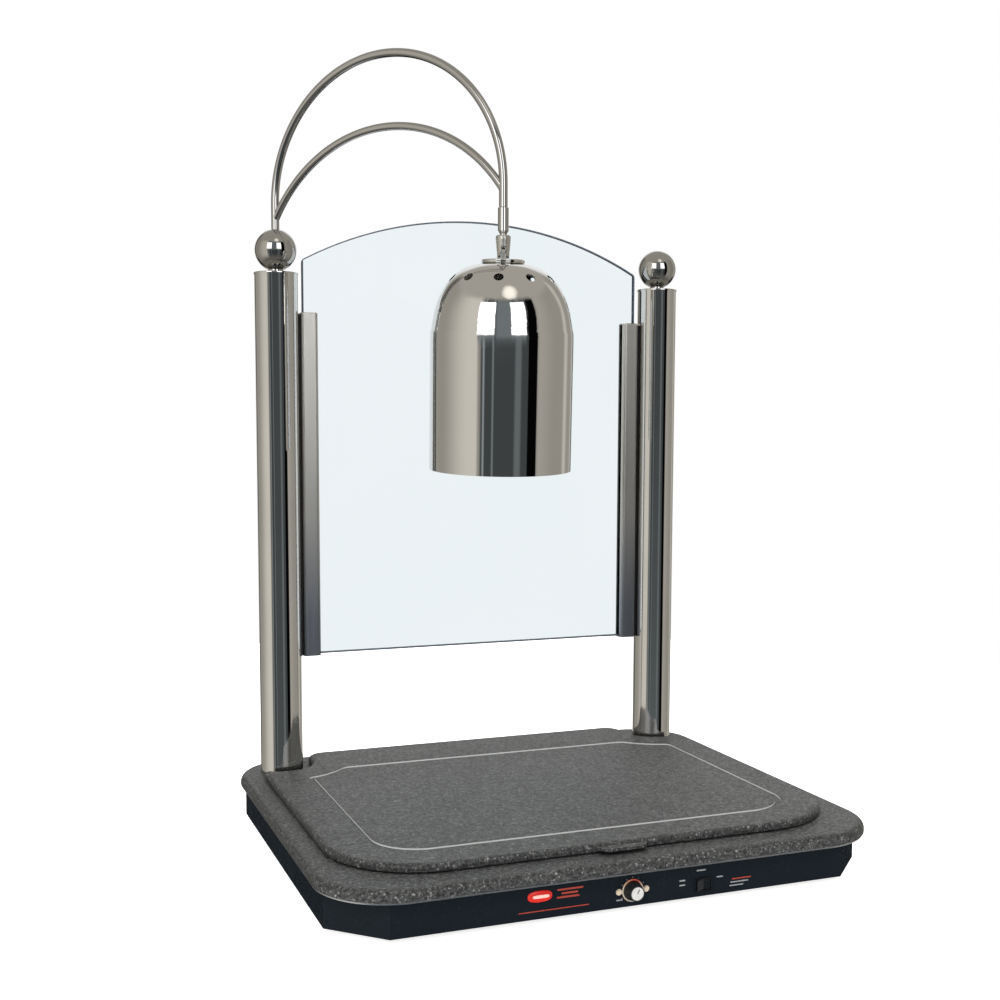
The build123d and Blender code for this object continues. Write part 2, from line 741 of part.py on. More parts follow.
with BuildPart() as post_plugs:
    with BuildSketch(Plane.XY.offset(SLAB_Z1)):
        with Locations((-POST_X, POST_Y), (POST_X, POST_Y)):
            Circle(POST_R - POST_WALL)
            Circle(BOLT_R, mode=Mode.SUBTRACT)
    extrude(amount=PLUG_L)
post_plugs.part.label = "post_plugs"

with BuildPart() as post_bolts:
    with BuildSketch(Plane.XY.offset(BOLT_Z0)):
        with Locations((-POST_X, POST_Y), (POST_X, POST_Y)):
            Circle(BOLT_R)
            Circle(LEAD_BORE, mode=Mode.SUBTRACT)
    extrude(amount=BOLT_Z1 - BOLT_Z0)
post_bolts.part.label = "post_bolts"

with BuildPart() as post_washers:
    # Thick washers under the deck, one at each post.
    with BuildSketch(Plane.XY.offset(BOX_Z1 - WASHER_T)):
        with Locations((-POST_X, POST_Y), (POST_X, POST_Y)):
            Circle(WASHER_R)
            Circle(BOLT_R, mode=Mode.SUBTRACT)
    extrude(amount=WASHER_T)
post_washers.part.label = "post_washers"

with BuildPart() as post_nuts:
    with BuildSketch(Plane.XY.offset(BOX_Z1 - WASHER_T - NUT_T)):
        with Locations((-POST_X, POST_Y), (POST_X, POST_Y)):
            RegularPolygon(NUT_AF / 2, 6, major_radius=False)
            Circle(BOLT_R, mode=Mode.SUBTRACT)
    extrude(amount=NUT_T)
post_nuts.part.label = "post_nuts"

with BuildPart() as post_lead:
    with BuildSketch(Plane.XY.offset(BOLT_Z0)):
        with Locations((-POST_X, POST_Y)):
            Circle(LEAD_R)
    extrude(amount=ARM_SOCKET_Z - 1 - BOLT_Z0)
post_lead.part.label = "post_lead"

# ================================================================ sneeze guard

CH_MID = (CH_IN + CH_OUT) / 2


def make_channel(side):
    with BuildPart() as channel:
        with BuildSketch(Plane.XY.offset(CH_Z0)):
            with Locations((side * CH_MID, GLASS_Y)):
                RectangleRounded(CH_OUT - CH_IN, CH_D, CH_ROUND)
        extrude(amount=CH_Z1 - CH_Z0)
        fillet(channel.faces().sort_by(Axis.Z)[-1].edges(), CH_TOP_ROUND)
        with BuildSketch(Plane.XY.offset(GLASS_Z0)):
            with Locations((side * (CH_IN + SLOT_X - GASKET_T) / 2, GLASS_Y)):
                Rectangle(SLOT_X - CH_IN + GASKET_T, SLOT_W)
        extrude(amount=CH_Z1, mode=Mode.SUBTRACT)
        with BuildSketch(Plane.YZ.offset(side * SLOT_X)):
            with Locations([(GLASS_Y, z) for z in CH_SCREW_Z]):
                Circle(CH_HEAD_R)
        extrude(amount=side * CH_HEAD_T, mode=Mode.SUBTRACT)
        with BuildSketch(Plane.YZ.offset(side * SLOT_X)):
            with Locations([(GLASS_Y, z) for z in CH_SCREW_Z]):
                Circle(CH_SCREW_R)
        extrude(amount=side * (CH_OUT - SLOT_X), mode=Mode.SUBTRACT)
    return channel


def make_gasket(side):
    with BuildPart() as gasket:
        with BuildSketch(Plane.XY.offset(GLASS_Z0)):
            with Locations((side * (CH_IN + GASKET_SET + SLOT_X) / 2, GLASS_Y)):
                Rectangle(SLOT_X - CH_IN - GASKET_SET, SLOT_W)
            with Locations((side * (CH_IN + GLASS_HALF) / 2, GLASS_Y)):
                Rectangle(GLASS_HALF - CH_IN, GLASS_T, mode=Mode.SUBTRACT)
        extrude(amount=CH_Z1 - CH_TOP_ROUND - GLASS_Z0)
    return gasket


left_channel = make_channel(-1)
left_channel.part.label = "left_channel"
right_channel = make_channel(1)
right_channel.part.label = "right_channel"
left_gasket = make_gasket(-1)
left_gasket.part.label = "left_gasket"
right_gasket = make_gasket(1)
right_gasket.part.label = "right_gasket"

with BuildPart() as channel_spacers:
    # Dark strips that fill the gap between each channel and its round post.
    with BuildSketch(Plane.XY.offset(CH_Z0)):
        for side in (-1, 1):
            with Locations((side * (CH_OUT + POST_R / 4), GLASS_Y)):
                Rectangle(POST_R / 2, SPACER_W)
        with Locations((-POST_X, POST_Y), (POST_X, POST_Y)):
            Circle(POST_R, mode=Mode.SUBTRACT)
    extrude(amount=CH_Z1 - CH_TOP_ROUND - CH_Z0)
    with BuildSketch(Plane.YZ):
        with Locations([(GLASS_Y, z) for z in CH_SCREW_Z]):
            Circle(CH_SCREW_R)
    extrude(amount=POST_X, both=True, mode=Mode.SUBTRACT)
channel_spacers.part.label = "channel_spacers"

with BuildPart() as channel_screws:
    for side in (-1, 1):
        with BuildSketch(Plane.YZ.offset(side * SLOT_X)):
            with Locations([(GLASS_Y, z) for z in CH_SCREW_Z]):
                Circle(CH_HEAD_R)
        extrude(amount=side * CH_HEAD_T)
        with BuildSketch(Plane.YZ.offset(side * SLOT_X)):
            with Locations([(GLASS_Y, z) for z in CH_SCREW_Z]):
                Circle(CH_SCREW_R)
        extrude(amount=side * (CH_SCREW_END - SLOT_X))
channel_screws.part.label = "channel_screws"

with BuildPart() as glass_panel:
    with BuildSketch(Plane.XZ.offset(-(GLASS_Y - GLASS_T / 2))) as pane:
        with BuildLine():
            Polyline(
                (-GLASS_HALF, GLASS_SHOULDER),
                (-GLASS_HALF, GLASS_Z0),
                (GLASS_HALF, GLASS_Z0),
                (GLASS_HALF, GLASS_SHOULDER),
            )
            ThreePointArc((GLASS_HALF, GLASS_SHOULDER), (0, GLASS_TOP), (-GLASS_HALF, GLASS_SHOULDER))
        make_face()
        fillet(pane.vertices().group_by(Axis.Z)[-1], GLASS_TOP_ROUND)
        fillet(pane.vertices().group_by(Axis.Z)[0], GLASS_LOW_ROUND)
    extrude(amount=-GLASS_T)
glass_panel.part.label = "glass_panel"

# ================================================================ carving board

with BuildPart() as carving_board:
    # Plate with a tongue that runs back between the posts and a round bite at each post.
    with BuildSketch(Plane.XY.offset(BOARD_Z0)) as board_face:
        with Locations((0, BOARD_FRONT)):
            Rectangle(2 * BOARD_HALF, BOARD_BACK - BOARD_FRONT, align=(Align.CENTER, Align.MIN))
        for side in (-1, 1):
            with Locations((side * POST_X, POST_Y)):
                Circle(NOTCH_R, mode=Mode.SUBTRACT)
            ear_y = POST_Y - sqrt(NOTCH_R**2 - (BOARD_HALF - POST_X) ** 2)
            with Locations((side * (POST_X + NOTCH_R / 2), ear_y)):
                Rectangle(NOTCH_R, NOTCH_R * 2, align=(Align.CENTER, Align.MIN), mode=Mode.SUBTRACT)
            with Locations((side * (POST_X - NOTCH_R / 2), POST_Y)):
                Rectangle(NOTCH_R, NOTCH_R * 2, align=(Align.CENTER, Align.MIN), mode=Mode.SUBTRACT)
        for rank in (0, -1):
            fillet(board_face.vertices().group_by(Axis.X)[rank].sort_by(Axis.Y)[-1], EAR_R)
        fillet(board_face.vertices().group_by(Axis.Y)[-1], TONGUE_R)
        fillet(board_face.vertices().group_by(Axis.Y)[0], BOARD_R)
    extrude(amount=BOARD_T)
    fillet(carving_board.faces().sort_by(Axis.Z)[-1].edges(), BOARD_TOP_ROUND)
    fillet(carving_board.faces().sort_by(Axis.Z)[0].edges(), BOARD_LOW_ROUND)
    # Finger tab at the middle of the front edge.
    with BuildSketch(Plane.XY.offset(TAB_Z0)) as tab_face:
        with Locations((0, BOARD_FRONT - TAB_OUT)):
            Rectangle(2 * TAB_HALF, TAB_OUT + TAB_OVERLAP, align=(Align.CENTER, Align.MIN))
        fillet(tab_face.vertices().group_by(Axis.Y)[0], TAB_R)
    extrude(amount=TAB_T)
    with BuildSketch(Plane.XY.offset(TAB_Z0 + TAB_T)) as dish_face:
        with Locations((0, BOARD_FRONT - TAB_OUT + TAB_RIM)):
            Rectangle(2 * (TAB_HALF - TAB_RIM), TAB_OUT - TAB_RIM, align=(Align.CENTER, Align.MIN))
        fillet(dish_face.vertices().group_by(Axis.Y)[0], TAB_R - TAB_RIM)
    extrude(amount=-TAB_DISH, mode=Mode.SUBTRACT)
    # Juice groove.
    with BuildSketch(Plane.XY.offset(BOARD_Z1)) as groove_face:
        with Locations((0, GROOVE_FRONT)):
            Rectangle(2 * GROOVE_HALF, GROOVE_BACK - GROOVE_FRONT, align=(Align.CENTER, Align.MIN))
        with Locations((-POST_X, POST_Y), (POST_X, POST_Y)):
            Circle(GROOVE_NOTCH_R, mode=Mode.SUBTRACT)
        fillet(groove_face.vertices().group_by(Axis.Y)[-1], GROOVE_BACK_ROUND)
        for rank in (0, -1):
            fillet(groove_face.vertices().group_by(Axis.X)[rank].sort_by(Axis.Y)[-1], GROOVE_SIDE_ROUND)
        fillet(groove_face.vertices().group_by(Axis.Y)[0], GROOVE_R)
        offset(amount=-GROOVE_W, mode=Mode.SUBTRACT)
    extrude(amount=-GROOVE_DEPTH, mode=Mode.SUBTRACT)
carving_board.part.label = "carving_board"

with BuildPart() as board_pads:
    with BuildSketch(Plane.XY.offset(SLAB_Z1)):
        with Locations(PAD_SPOTS):
            Circle(PAD_R)
    extrude(amount=BOARD_GAP)
board_pads.part.label = "board_pads"

# ================================================================ lamp arm

ARM_C = cos(radians(ARM_TURN))
ARM_S = sin(radians(ARM_TURN))
ARM_PLANE = Plane(origin=(-POST_X, POST_Y, 0), x_dir=(ARM_C, ARM_S, 0), z_dir=(ARM_S, -ARM_C, 0))
LAMP_X = -POST_X + 2 * ARM_R * ARM_C
LAMP_Y = POST_Y + 2 * ARM_R * ARM_S
DROP_AXIS = Axis((LAMP_X, LAMP_Y, 0), (0, 0, 1))


def arm_run(radius, bore, low, high):
    # A tube or a rod along the arch, from the ball socket to the swivel.
    with BuildPart() as run:
        with BuildLine(ARM_PLANE) as path:
            Line((0, low), (0, ARM_SPRING))
            ThreePointArc((0, ARM_SPRING), (ARM_R, ARM_SPRING + ARM_R), (2 * ARM_R, ARM_SPRING))
            Line((2 * ARM_R, ARM_SPRING), (2 * ARM_R, high))
        with BuildSketch(Plane(origin=path.line @ 0, z_dir=path.line % 0)):
            Circle(radius)
            if bore:
                Circle(bore, mode=Mode.SUBTRACT)
        sweep(path=path.line)
    return run


arm_tube = arm_run(ARM_TUBE_R, ARM_TUBE_IN, ARM_Z0, ARM_END)
arm_tube.part.label = "arm_tube"
arm_lead = arm_run(LEAD_R, 0, ARM_Z0 + 1, ARM_END + 1)
arm_lead.part.label = "arm_lead"
arm_envelope = arm_run(ARM_TUBE_R, 0, ARM_Z0, ARM_END)

with BuildPart() as arm_brace:
    # Lower, flatter arc welded to the inside of the arch at both ends.
    with BuildLine(ARM_PLANE) as brace_path:
        CenterArc((BRACE_D, BRACE_Z), BRACE_R, BRACE_START, BRACE_END - BRACE_START)
    with BuildSketch(Plane(origin=brace_path.line @ 0, z_dir=brace_path.line % 0)):
        Circle(BRACE_TUBE_R)
        Circle(BRACE_TUBE_IN, mode=Mode.SUBTRACT)
    sweep(path=brace_path.line)
    add(arm_envelope.part, mode=Mode.SUBTRACT)
arm_brace.part.label = "arm_brace"


def drop_point(radius, height):
    return (2 * ARM_R + radius, height)


with BuildPart() as arm_sleeve:
    with BuildSketch(ARM_PLANE):
        with BuildLine():
            Polyline(
                drop_point(ARM_TUBE_R, SLEEVE_TOP),
                drop_point(SLEEVE_R, SLEEVE_TOP - SLEEVE_TOP_CHAMFER),
                drop_point(SLEEVE_R, SLEEVE_NECK),
                drop_point(SLEEVE_NECK_R, SLEEVE_Z0 + SLEEVE_NECK_RISE),
                drop_point(SLEEVE_NECK_R, SLEEVE_Z0),
                drop_point(LEAD_BORE, SLEEVE_Z0),
                drop_point(LEAD_BORE, ARM_END),
                drop_point(ARM_TUBE_R, ARM_END),
                close=True,
            )
        make_face()
    revolve(axis=DROP_AXIS)
arm_sleeve.part.label = "arm_sleeve"

PIN_C = cos(radians(PIN_TURN))
PIN_S = sin(radians(PIN_TURN))
# The cross pin dips a little to its right, so the lamp hangs slightly out of plumb.
BACK_DIR = Vector(-PIN_S, PIN_C, 0)
PIN_DIR = Vector(PIN_C, PIN_S, 0) * cos(radians(PIN_ROLL)) + Vector(0, 0, 1) * sin(radians(PIN_ROLL))
CROSS_DIR = PIN_DIR.cross(BACK_DIR)
PIVOT = Vector(LAMP_X, LAMP_Y, PIN_Z)
FORK_FACE = Plane(origin=PIVOT, x_dir=PIN_DIR, z_dir=PIN_DIR.cross(CROSS_DIR))
FORK_SIDE = Plane(origin=PIVOT, x_dir=BACK_DIR, z_dir=PIN_DIR)

with BuildPart() as swivel_fork:
    # Tapered clevis; its two cheeks straddle the tongue of the lamp.
    with BuildSketch(ARM_PLANE):
        with BuildLine():
            Polyline(
                drop_point(LEAD_BORE, SLEEVE_Z0),
                drop_point(SLEEVE_NECK_R, SLEEVE_Z0),
                drop_point(FORK_TOP_R - FORK_NECK_IN, SLEEVE_Z0 - FORK_NECK_DROP),
                drop_point(FORK_TOP_R, SLEEVE_Z0 - FORK_SHOULDER),
                drop_point(FORK_TOP_R, SLEEVE_Z0 - 3 * FORK_SHOULDER),
                drop_point(FORK_LOW_R, PIN_Z - FORK_END_R),
                drop_point(LEAD_BORE, PIN_Z - FORK_END_R),
                close=True,
            )
        make_face()
    revolve(axis=DROP_AXIS)
    with BuildSketch(FORK_FACE):
        with Locations((0, FORK_SLOT_TOP - PIN_Z)):
            Rectangle(FORK_SLOT, 2 * FORK_LOW_R * 2, align=(Align.CENTER, Align.MAX))
    extrude(amount=2 * FORK_TOP_R, both=True, mode=Mode.SUBTRACT)
    with BuildSketch(FORK_SIDE):
        Circle(FORK_END_R)
        Rectangle(4 * FORK_TOP_R, 4 * FORK_TOP_R, align=(Align.CENTER, Align.MIN))
    extrude(amount=2 * FORK_TOP_R, both=True, mode=Mode.INTERSECT)
    with BuildSketch(FORK_SIDE):
        Circle(PIN_R)
    extrude(amount=2 * FORK_TOP_R, both=True, mode=Mode.SUBTRACT)
swivel_fork.part.label = "swivel_fork"

with BuildPart() as swivel_pin:
    with BuildSketch(FORK_SIDE):
        Circle(PIN_R)
    extrude(amount=FORK_LOW_R, both=True)
swivel_pin.part.label = "swivel_pin"

# ================================================================ lamp

LEAN_C = cos(radians(LAMP_LEAN))
LEAN_S = sin(radians(LAMP_LEAN))
UP_DIR = CROSS_DIR * LEAN_C - BACK_DIR * LEAN_S
LAMP_FACE = Plane(origin=PIVOT, x_dir=PIN_DIR, z_dir=PIN_DIR.cross(UP_DIR))
LAMP_SIDE = Plane(origin=PIVOT, x_dir=UP_DIR.cross(PIN_DIR), z_dir=PIN_DIR)
LAMP_FLAT = Plane(origin=PIVOT, x_dir=PIN_DIR, z_dir=UP_DIR)
LAMP_AXIS = Axis(PIVOT, UP_DIR)

with BuildPart() as swivel_tongue:
    with BuildSketch(LAMP_SIDE):
        Circle(BLADE_R)
        Rectangle(2 * BLADE_R, -HUB_H1, align=(Align.CENTER, Align.MAX))
        Circle(BLADE_BORE, mode=Mode.SUBTRACT)
    extrude(amount=BLADE_T / 2, both=True)
    with BuildSketch(LAMP_FLAT.offset(HUB_H0)):
        Circle(HUB_R)
    extrude(amount=HUB_H1 - HUB_H0)
swivel_tongue.part.label = "swivel_tongue"

with BuildPart() as shade_cap:
    with BuildSketch(LAMP_FLAT.offset(CAP_DISC_H0)):
        Circle(CAP_DISC_R)
    extrude(amount=HUB_H0 - CAP_DISC_H0)
    fillet(shade_cap.edges().filter_by(GeomType.CIRCLE), (HUB_H0 - CAP_DISC_H0) * CAP_DISC_ROUND)
    with BuildSketch(LAMP_FLAT.offset(CAP_DISC_H0)):
        Circle(NIPPLE_R)
    extrude(amount=HUB_H0 - CAP_DISC_H0, mode=Mode.SUBTRACT)
shade_cap.part.label = "shade_cap"

SHADE_IN = SHADE_R - SHADE_T
SHADE_TALL = CAP_DISC_H0 - SHADE_SPRING
SHADE_IN_TOP = CAP_DISC_H0 - SHADE_T


def inner_dome(radius, height):
    # A point of the outer dome moved in by the sheet's thickness.
    shrink = (SHADE_TALL - SHADE_T) / SHADE_TALL
    return (radius * SHADE_IN / SHADE_R, SHADE_SPRING + (height - SHADE_SPRING) * shrink)


with BuildPart() as lamp_shade:
    with BuildSketch(LAMP_FACE):
        with BuildLine():
            Line((NIPPLE_R, CAP_DISC_H0), SHADE_DOME[0])
            Spline(*SHADE_DOME, tangents=((1, 0), (0, -1)))
            Polyline(
                SHADE_DOME[-1],
                (SHADE_R, SHADE_RIM),
                (SHADE_IN, SHADE_RIM),
                (SHADE_IN, SHADE_SPRING),
            )
            Spline(*[inner_dome(r, h) for r, h in SHADE_DOME[::-1]], tangents=((0, 1), (-1, 0)))
            Polyline(
                inner_dome(*SHADE_DOME[0]),
                (NIPPLE_R, SHADE_IN_TOP),
                (NIPPLE_R, CAP_DISC_H0),
            )
        make_face()
    revolve(axis=LAMP_AXIS)
    # Ring of vent holes, square to the dome.
    for index in range(VENT_COUNT):
        turn = radians(VENT_TURN + index * 360 / VENT_COUNT)
        across = PIN_DIR * cos(turn) + LAMP_SIDE.x_dir * sin(turn)
        normal = across * sin(radians(VENT_SLOPE)) + UP_DIR * cos(radians(VENT_SLOPE))
        centre = PIVOT + across * VENT_RING + UP_DIR * VENT_H
        with BuildSketch(Plane(origin=centre, z_dir=normal)):
            Circle(VENT_R)
        extrude(amount=3 * SHADE_T, both=True, mode=Mode.SUBTRACT)
lamp_shade.part.label = "lamp_shade"

with BuildPart() as lamp_nipple:
    with BuildSketch(LAMP_FLAT.offset(NIPPLE_END)):
        Circle(NIPPLE_R)
        Circle(NIPPLE_IN, mode=Mode.SUBTRACT)
    extrude(amount=HUB_H0 - NIPPLE_END)
lamp_nipple.part.label = "lamp_nipple"

lamp_nut = hexagon_part(
    (0, 0), LAMP_FLAT.offset(LAMP_NUT_H0), LAMP_NUT_AF, LAMP_NUT_H1 - LAMP_NUT_H0, NIPPLE_R
)
lamp_nut.part.label = "lamp_nut"

with BuildPart() as lamp_socket:
    # Ceramic screw-lamp holder.
    with BuildSketch(LAMP_FLAT.offset(SOCKET_H0)):
        Circle(SOCKET_R)
    extrude(amount=SOCKET_H1 - SOCKET_H0)
    with BuildSketch(LAMP_FLAT.offset(SOCKET_H0)):
        Circle(SOCKET_CAVITY_R)
    extrude(amount=SOCKET_CAVITY_TOP - SOCKET_H0, mode=Mode.SUBTRACT)
    with BuildSketch(LAMP_FLAT.offset(SOCKET_CAVITY_TOP)):
        Circle(NIPPLE_R)
    extrude(amount=SOCKET_H1 - SOCKET_CAVITY_TOP, mode=Mode.SUBTRACT)
lamp_socket.part.label = "lamp_socket"

with BuildPart() as bulb_base:
    with BuildSketch(LAMP_FLAT.offset(BULB_NECK)):
        Circle(SOCKET_CAVITY_R)
    extrude(amount=BULB_BASE_TOP - BULB_NECK)
bulb_base.part.label = "bulb_base"

with BuildPart() as bulb_glass:
    # Thin reflector bulb, open only at the neck, where its base closes it.
    inner_side = [(r - BULB_WALL, h) for r, h in BULB_OUTER]
    inner_face = [(r - BULB_WALL, h + BULB_WALL / 2) for r, h in BULB_FACE[1:-1]]
    with BuildSketch(LAMP_FACE):
        with BuildLine():
            Spline(*BULB_OUTER)
            Spline(*BULB_FACE, tangents=((0, -1), (-1, 0)))
            Line(BULB_FACE[-1], (0, BULB_FACE[-1][1] + BULB_WALL))
            Spline(
                (0, BULB_FACE[-1][1] + BULB_WALL),
                *inner_face[::-1],
                inner_side[-1],
                tangents=((1, 0), (0, 1)),
            )
            Spline(*inner_side[::-1])
            Line(inner_side[0], BULB_OUTER[0])
        make_face()
    revolve(axis=LAMP_AXIS)
bulb_glass.part.label = "bulb_glass"

# ================================================================ export

PIECES = (
    base_shell, bottom_plate, bottom_screws, rubber_feet, foot_screws,
    deck_plate, stone_base, heater_blanket, insulation_pad, heater_pan, pan_screws,
    knob_bezel, thermostat_body, thermostat_screws, knob_body, knob_face, control_shaft,
    switch_housing, rocker, cord_gland, gland_locknut, terminal_block,
    left_post, right_post, left_cap, right_cap, left_ball, right_ball, ball_studs,
    post_plugs, post_bolts, post_washers, post_nuts, post_lead,
    left_channel, right_channel, left_gasket, right_gasket, channel_spacers,
    channel_screws, glass_panel, carving_board, board_pads,
    arm_tube, arm_lead, arm_brace, arm_sleeve, swivel_fork, swivel_pin,
    swivel_tongue, shade_cap, lamp_shade, lamp_nipple, lamp_nut, lamp_socket,
    bulb_base, bulb_glass,
)
for piece in PIECES:
    export_step(piece.part, f"parts/{piece.part.label}.step")
    print(piece.part.label, len(piece.part.solids()), round(piece.part.volume))
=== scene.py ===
import json
import math

import bmesh
import bpy
from mathutils import Matrix, Vector


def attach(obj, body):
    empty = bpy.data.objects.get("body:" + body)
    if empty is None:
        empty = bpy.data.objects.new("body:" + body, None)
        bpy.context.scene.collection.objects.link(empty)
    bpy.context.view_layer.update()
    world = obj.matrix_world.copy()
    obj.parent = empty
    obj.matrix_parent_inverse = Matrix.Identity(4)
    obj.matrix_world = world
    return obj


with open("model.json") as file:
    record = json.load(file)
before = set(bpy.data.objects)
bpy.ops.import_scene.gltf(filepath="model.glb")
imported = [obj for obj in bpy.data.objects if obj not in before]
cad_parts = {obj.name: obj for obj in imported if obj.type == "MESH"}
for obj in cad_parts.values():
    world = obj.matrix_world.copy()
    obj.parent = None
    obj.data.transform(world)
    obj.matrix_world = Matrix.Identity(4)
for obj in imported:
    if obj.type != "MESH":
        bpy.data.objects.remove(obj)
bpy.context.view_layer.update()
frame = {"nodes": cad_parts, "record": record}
NODES = frame["nodes"]
RECORD = frame["record"]


# ---------------------------------------------------------------- node helpers
class Tree:
    """A material's node tree, with the Principled shader it ends in."""

    def __init__(self, name):
        self.mat = bpy.data.materials.new(name)
        self.mat.use_nodes = True
        self.nodes = self.mat.node_tree.nodes
        self.links = self.mat.node_tree.links
        self.bsdf = self.nodes["Principled BSDF"]
        self.coord = self.add("ShaderNodeTexCoord").outputs["Object"]

    def add(self, kind, **props):
        node = self.nodes.new(kind)
        for key, value in props.items():
            setattr(node, key, value)
        return node

    def join(self, source, socket):
        self.links.new(source, socket)

    def set(self, **values):
        for key, value in values.items():
            self.bsdf.inputs[key.replace("_", " ")].default_value = value

    def scaled(self, x, y, z):
        node = self.add("ShaderNodeMapping")
        self.join(self.coord, node.inputs["Vector"])
        node.inputs["Scale"].default_value = (x, y, z)
        return node.outputs["Vector"]

    def noise(self, scale, detail=3.0, rough=0.5, vector=None):
        node = self.add("ShaderNodeTexNoise")
        self.join(vector or self.coord, node.inputs["Vector"])
        node.inputs["Scale"].default_value = scale
        node.inputs["Detail"].default_value = detail
        node.inputs["Roughness"].default_value = rough
        return node.outputs["Fac"]

    def cells(self, scale):
        node = self.add("ShaderNodeTexVoronoi")
        self.join(self.coord, node.inputs["Vector"])
        node.inputs["Scale"].default_value = scale
        return node

    def span(self, source, low, high, to_low=0.0, to_high=1.0):
        node = self.add("ShaderNodeMapRange")
        self.join(source, node.inputs["Value"])
        node.inputs["From Min"].default_value = low
        node.inputs["From Max"].default_value = high
        node.inputs["To Min"].default_value = to_low
        node.inputs["To Max"].default_value = to_high
        return node.outputs["Result"]

    def math(self, kind, a, b=None):
        node = self.add("ShaderNodeMath", operation=kind)
        for socket, value in zip(node.inputs, (a, b)):
            if value is None:
                continue
            if isinstance(value, (int, float)):
                socket.default_value = value
            else:
                self.join(value, socket)
        return node.outputs["Value"]

    def mix(self, fac, a, b):
        node = self.add("ShaderNodeMix", data_type="RGBA")
        for socket, value in ((node.inputs[0], fac), (node.inputs[6], a), (node.inputs[7], b)):
            if isinstance(value, tuple):
                socket.default_value = (*value, 1.0) if len(value) == 3 else value
            elif isinstance(value, (int, float)):
                socket.default_value = value
            else:
                self.join(value, socket)
        return node.outputs[2]

    def ramp(self, source, stops):
        node = self.add("ShaderNodeValToRGB")
        self.join(source, node.inputs["Fac"])
        points = node.color_ramp.elements
        while len(points) < len(stops):
            points.new(0.5)
        for point, (place, colour) in zip(points, stops):
            point.position = place
            point.color = (*colour, 1.0)
        return node.outputs["Color"]

    def bump(self, height, strength, distance):
        node = self.add("ShaderNodeBump")
        node.inputs["Strength"].default_value = strength
        node.inputs["Distance"].default_value = distance
        self.join(height, node.inputs["Height"])
        self.join(node.outputs["Normal"], self.bsdf.inputs["Normal"])

    def axes(self):
        node = self.add("ShaderNodeSeparateXYZ")
        self.join(self.coord, node.inputs["Vector"])
        return node.outputs

    def band(self, source, low, high, soft):
        """1 between low and high, falling to 0 over soft on each side."""
        rise = self.span(source, low - soft, low)
        fall = self.span(source, high + soft, high)
        return self.math("MULTIPLY", rise, fall)

    def normal(self):
        node = self.add("ShaderNodeSeparateXYZ")
        self.join(self.nodes["Texture Coordinate"].outputs["Normal"], node.inputs["Vector"])
        return node.outputs

    def colour(self, source):
        self.join(source, self.bsdf.inputs["Base Color"])

    def rough(self, source):
        self.join(source, self.bsdf.inputs["Roughness"])


# Metres: where the posts end, and the height whose view of the room their whole length shows.
POST_TOP = 0.6545
POST_LEVEL = 0.346
POST_LEAN = -0.32


def level_walls(t):
    """Ease the upright walls' shading, so that a tall post mirrors one height of the room."""
    z = t.axes()[2]
    wall = t.span(t.math("ABSOLUTE", t.normal()[2]), 0.5, 0.2)
    wall = t.math("MULTIPLY", wall, t.span(z, POST_TOP + 0.0005, POST_TOP))
    lean_by_height = t.math("MULTIPLY", t.math("SUBTRACT", z, POST_LEVEL), POST_LEAN)
    tilt = t.math("MULTIPLY", lean_by_height, wall)
    lean = t.add("ShaderNodeCombineXYZ")
    t.join(tilt, lean.inputs["Z"])
    total = t.add("ShaderNodeVectorMath", operation="ADD")
    t.join(t.add("ShaderNodeNewGeometry").outputs["Normal"], total.inputs[0])
    t.join(lean.outputs["Vector"], total.inputs[1])
    unit = t.add("ShaderNodeVectorMath", operation="NORMALIZE")
    t.join(total.outputs["Vector"], unit.inputs[0])
    t.join(unit.outputs["Vector"], t.bsdf.inputs["Normal"])


def metal(name, base, dirt, low, high, grain=0.0, grain_axis="Z", painted_shading_by_height=(), level=False):
    """Plated or brushed metal: faint cloudy tint, uneven polish, grain along one axis, and painted light
    and shade in bands by height where asked.
    """
    t = Tree(name)
    t.set(Metallic=1.0)
    tint = t.mix(t.span(t.noise(14.0, 4.0, 0.55), 0.35, 0.7), base, dirt)
    # Painted light and shade: the colour changes in bands by height, for how each height is lit.
    for start, end, shade in painted_shading_by_height:
        tint = t.mix(t.span(t.axes()[2], start, end), tint, shade)
    t.colour(tint)
    if grain:
        stretch = {"X": (6.0, 900.0, 900.0), "Y": (900.0, 6.0, 900.0), "Z": (900.0, 900.0, 6.0)}[grain_axis]
        lines = t.noise(1.0, 3.0, 0.7, t.scaled(*stretch))
        t.rough(t.span(lines, 0.3, 0.7, low, high))
        t.bump(lines, grain, 0.0002)
    else:
        t.rough(t.span(t.noise(60.0, 5.0, 0.6), 0.3, 0.75, low, high))
    if level:
        level_walls(t)
    return t.mat


def plastic(name, base, second, low, high, bump=0.06, scale=900.0):
    t = Tree(name)
    cloud = t.noise(40.0, 3.0, 0.5)
    t.colour(t.mix(t.span(cloud, 0.35, 0.7), base, second))
    grain = t.noise(scale, 2.0, 0.5)
    t.rough(t.span(t.noise(120.0, 3.0, 0.6), 0.3, 0.7, low, high))
    t.bump(grain, bump, 0.0002)
    return t.mat


# ---------------------------------------------------------------- materials
BOARD_TOP = 0.0644
GROOVE_X, GROOVE_FRONT, GROOVE_BACK = 0.242, -0.192, 0.160


def grains(t, scale, channel, common, size):
    """Chips of one size: 1 on the picked share of the cells, falling off at the cell's edge."""
    cells = t.cells(scale)
    pick = t.add("ShaderNodeSeparateColor")
    t.join(cells.outputs["Color"], pick.inputs["Color"])
    chosen = t.span(pick.outputs[channel], common, min(common + 0.12, 1.0))
    return t.math("MULTIPLY", t.span(cells.outputs["Distance"], size, size * 0.45), chosen)


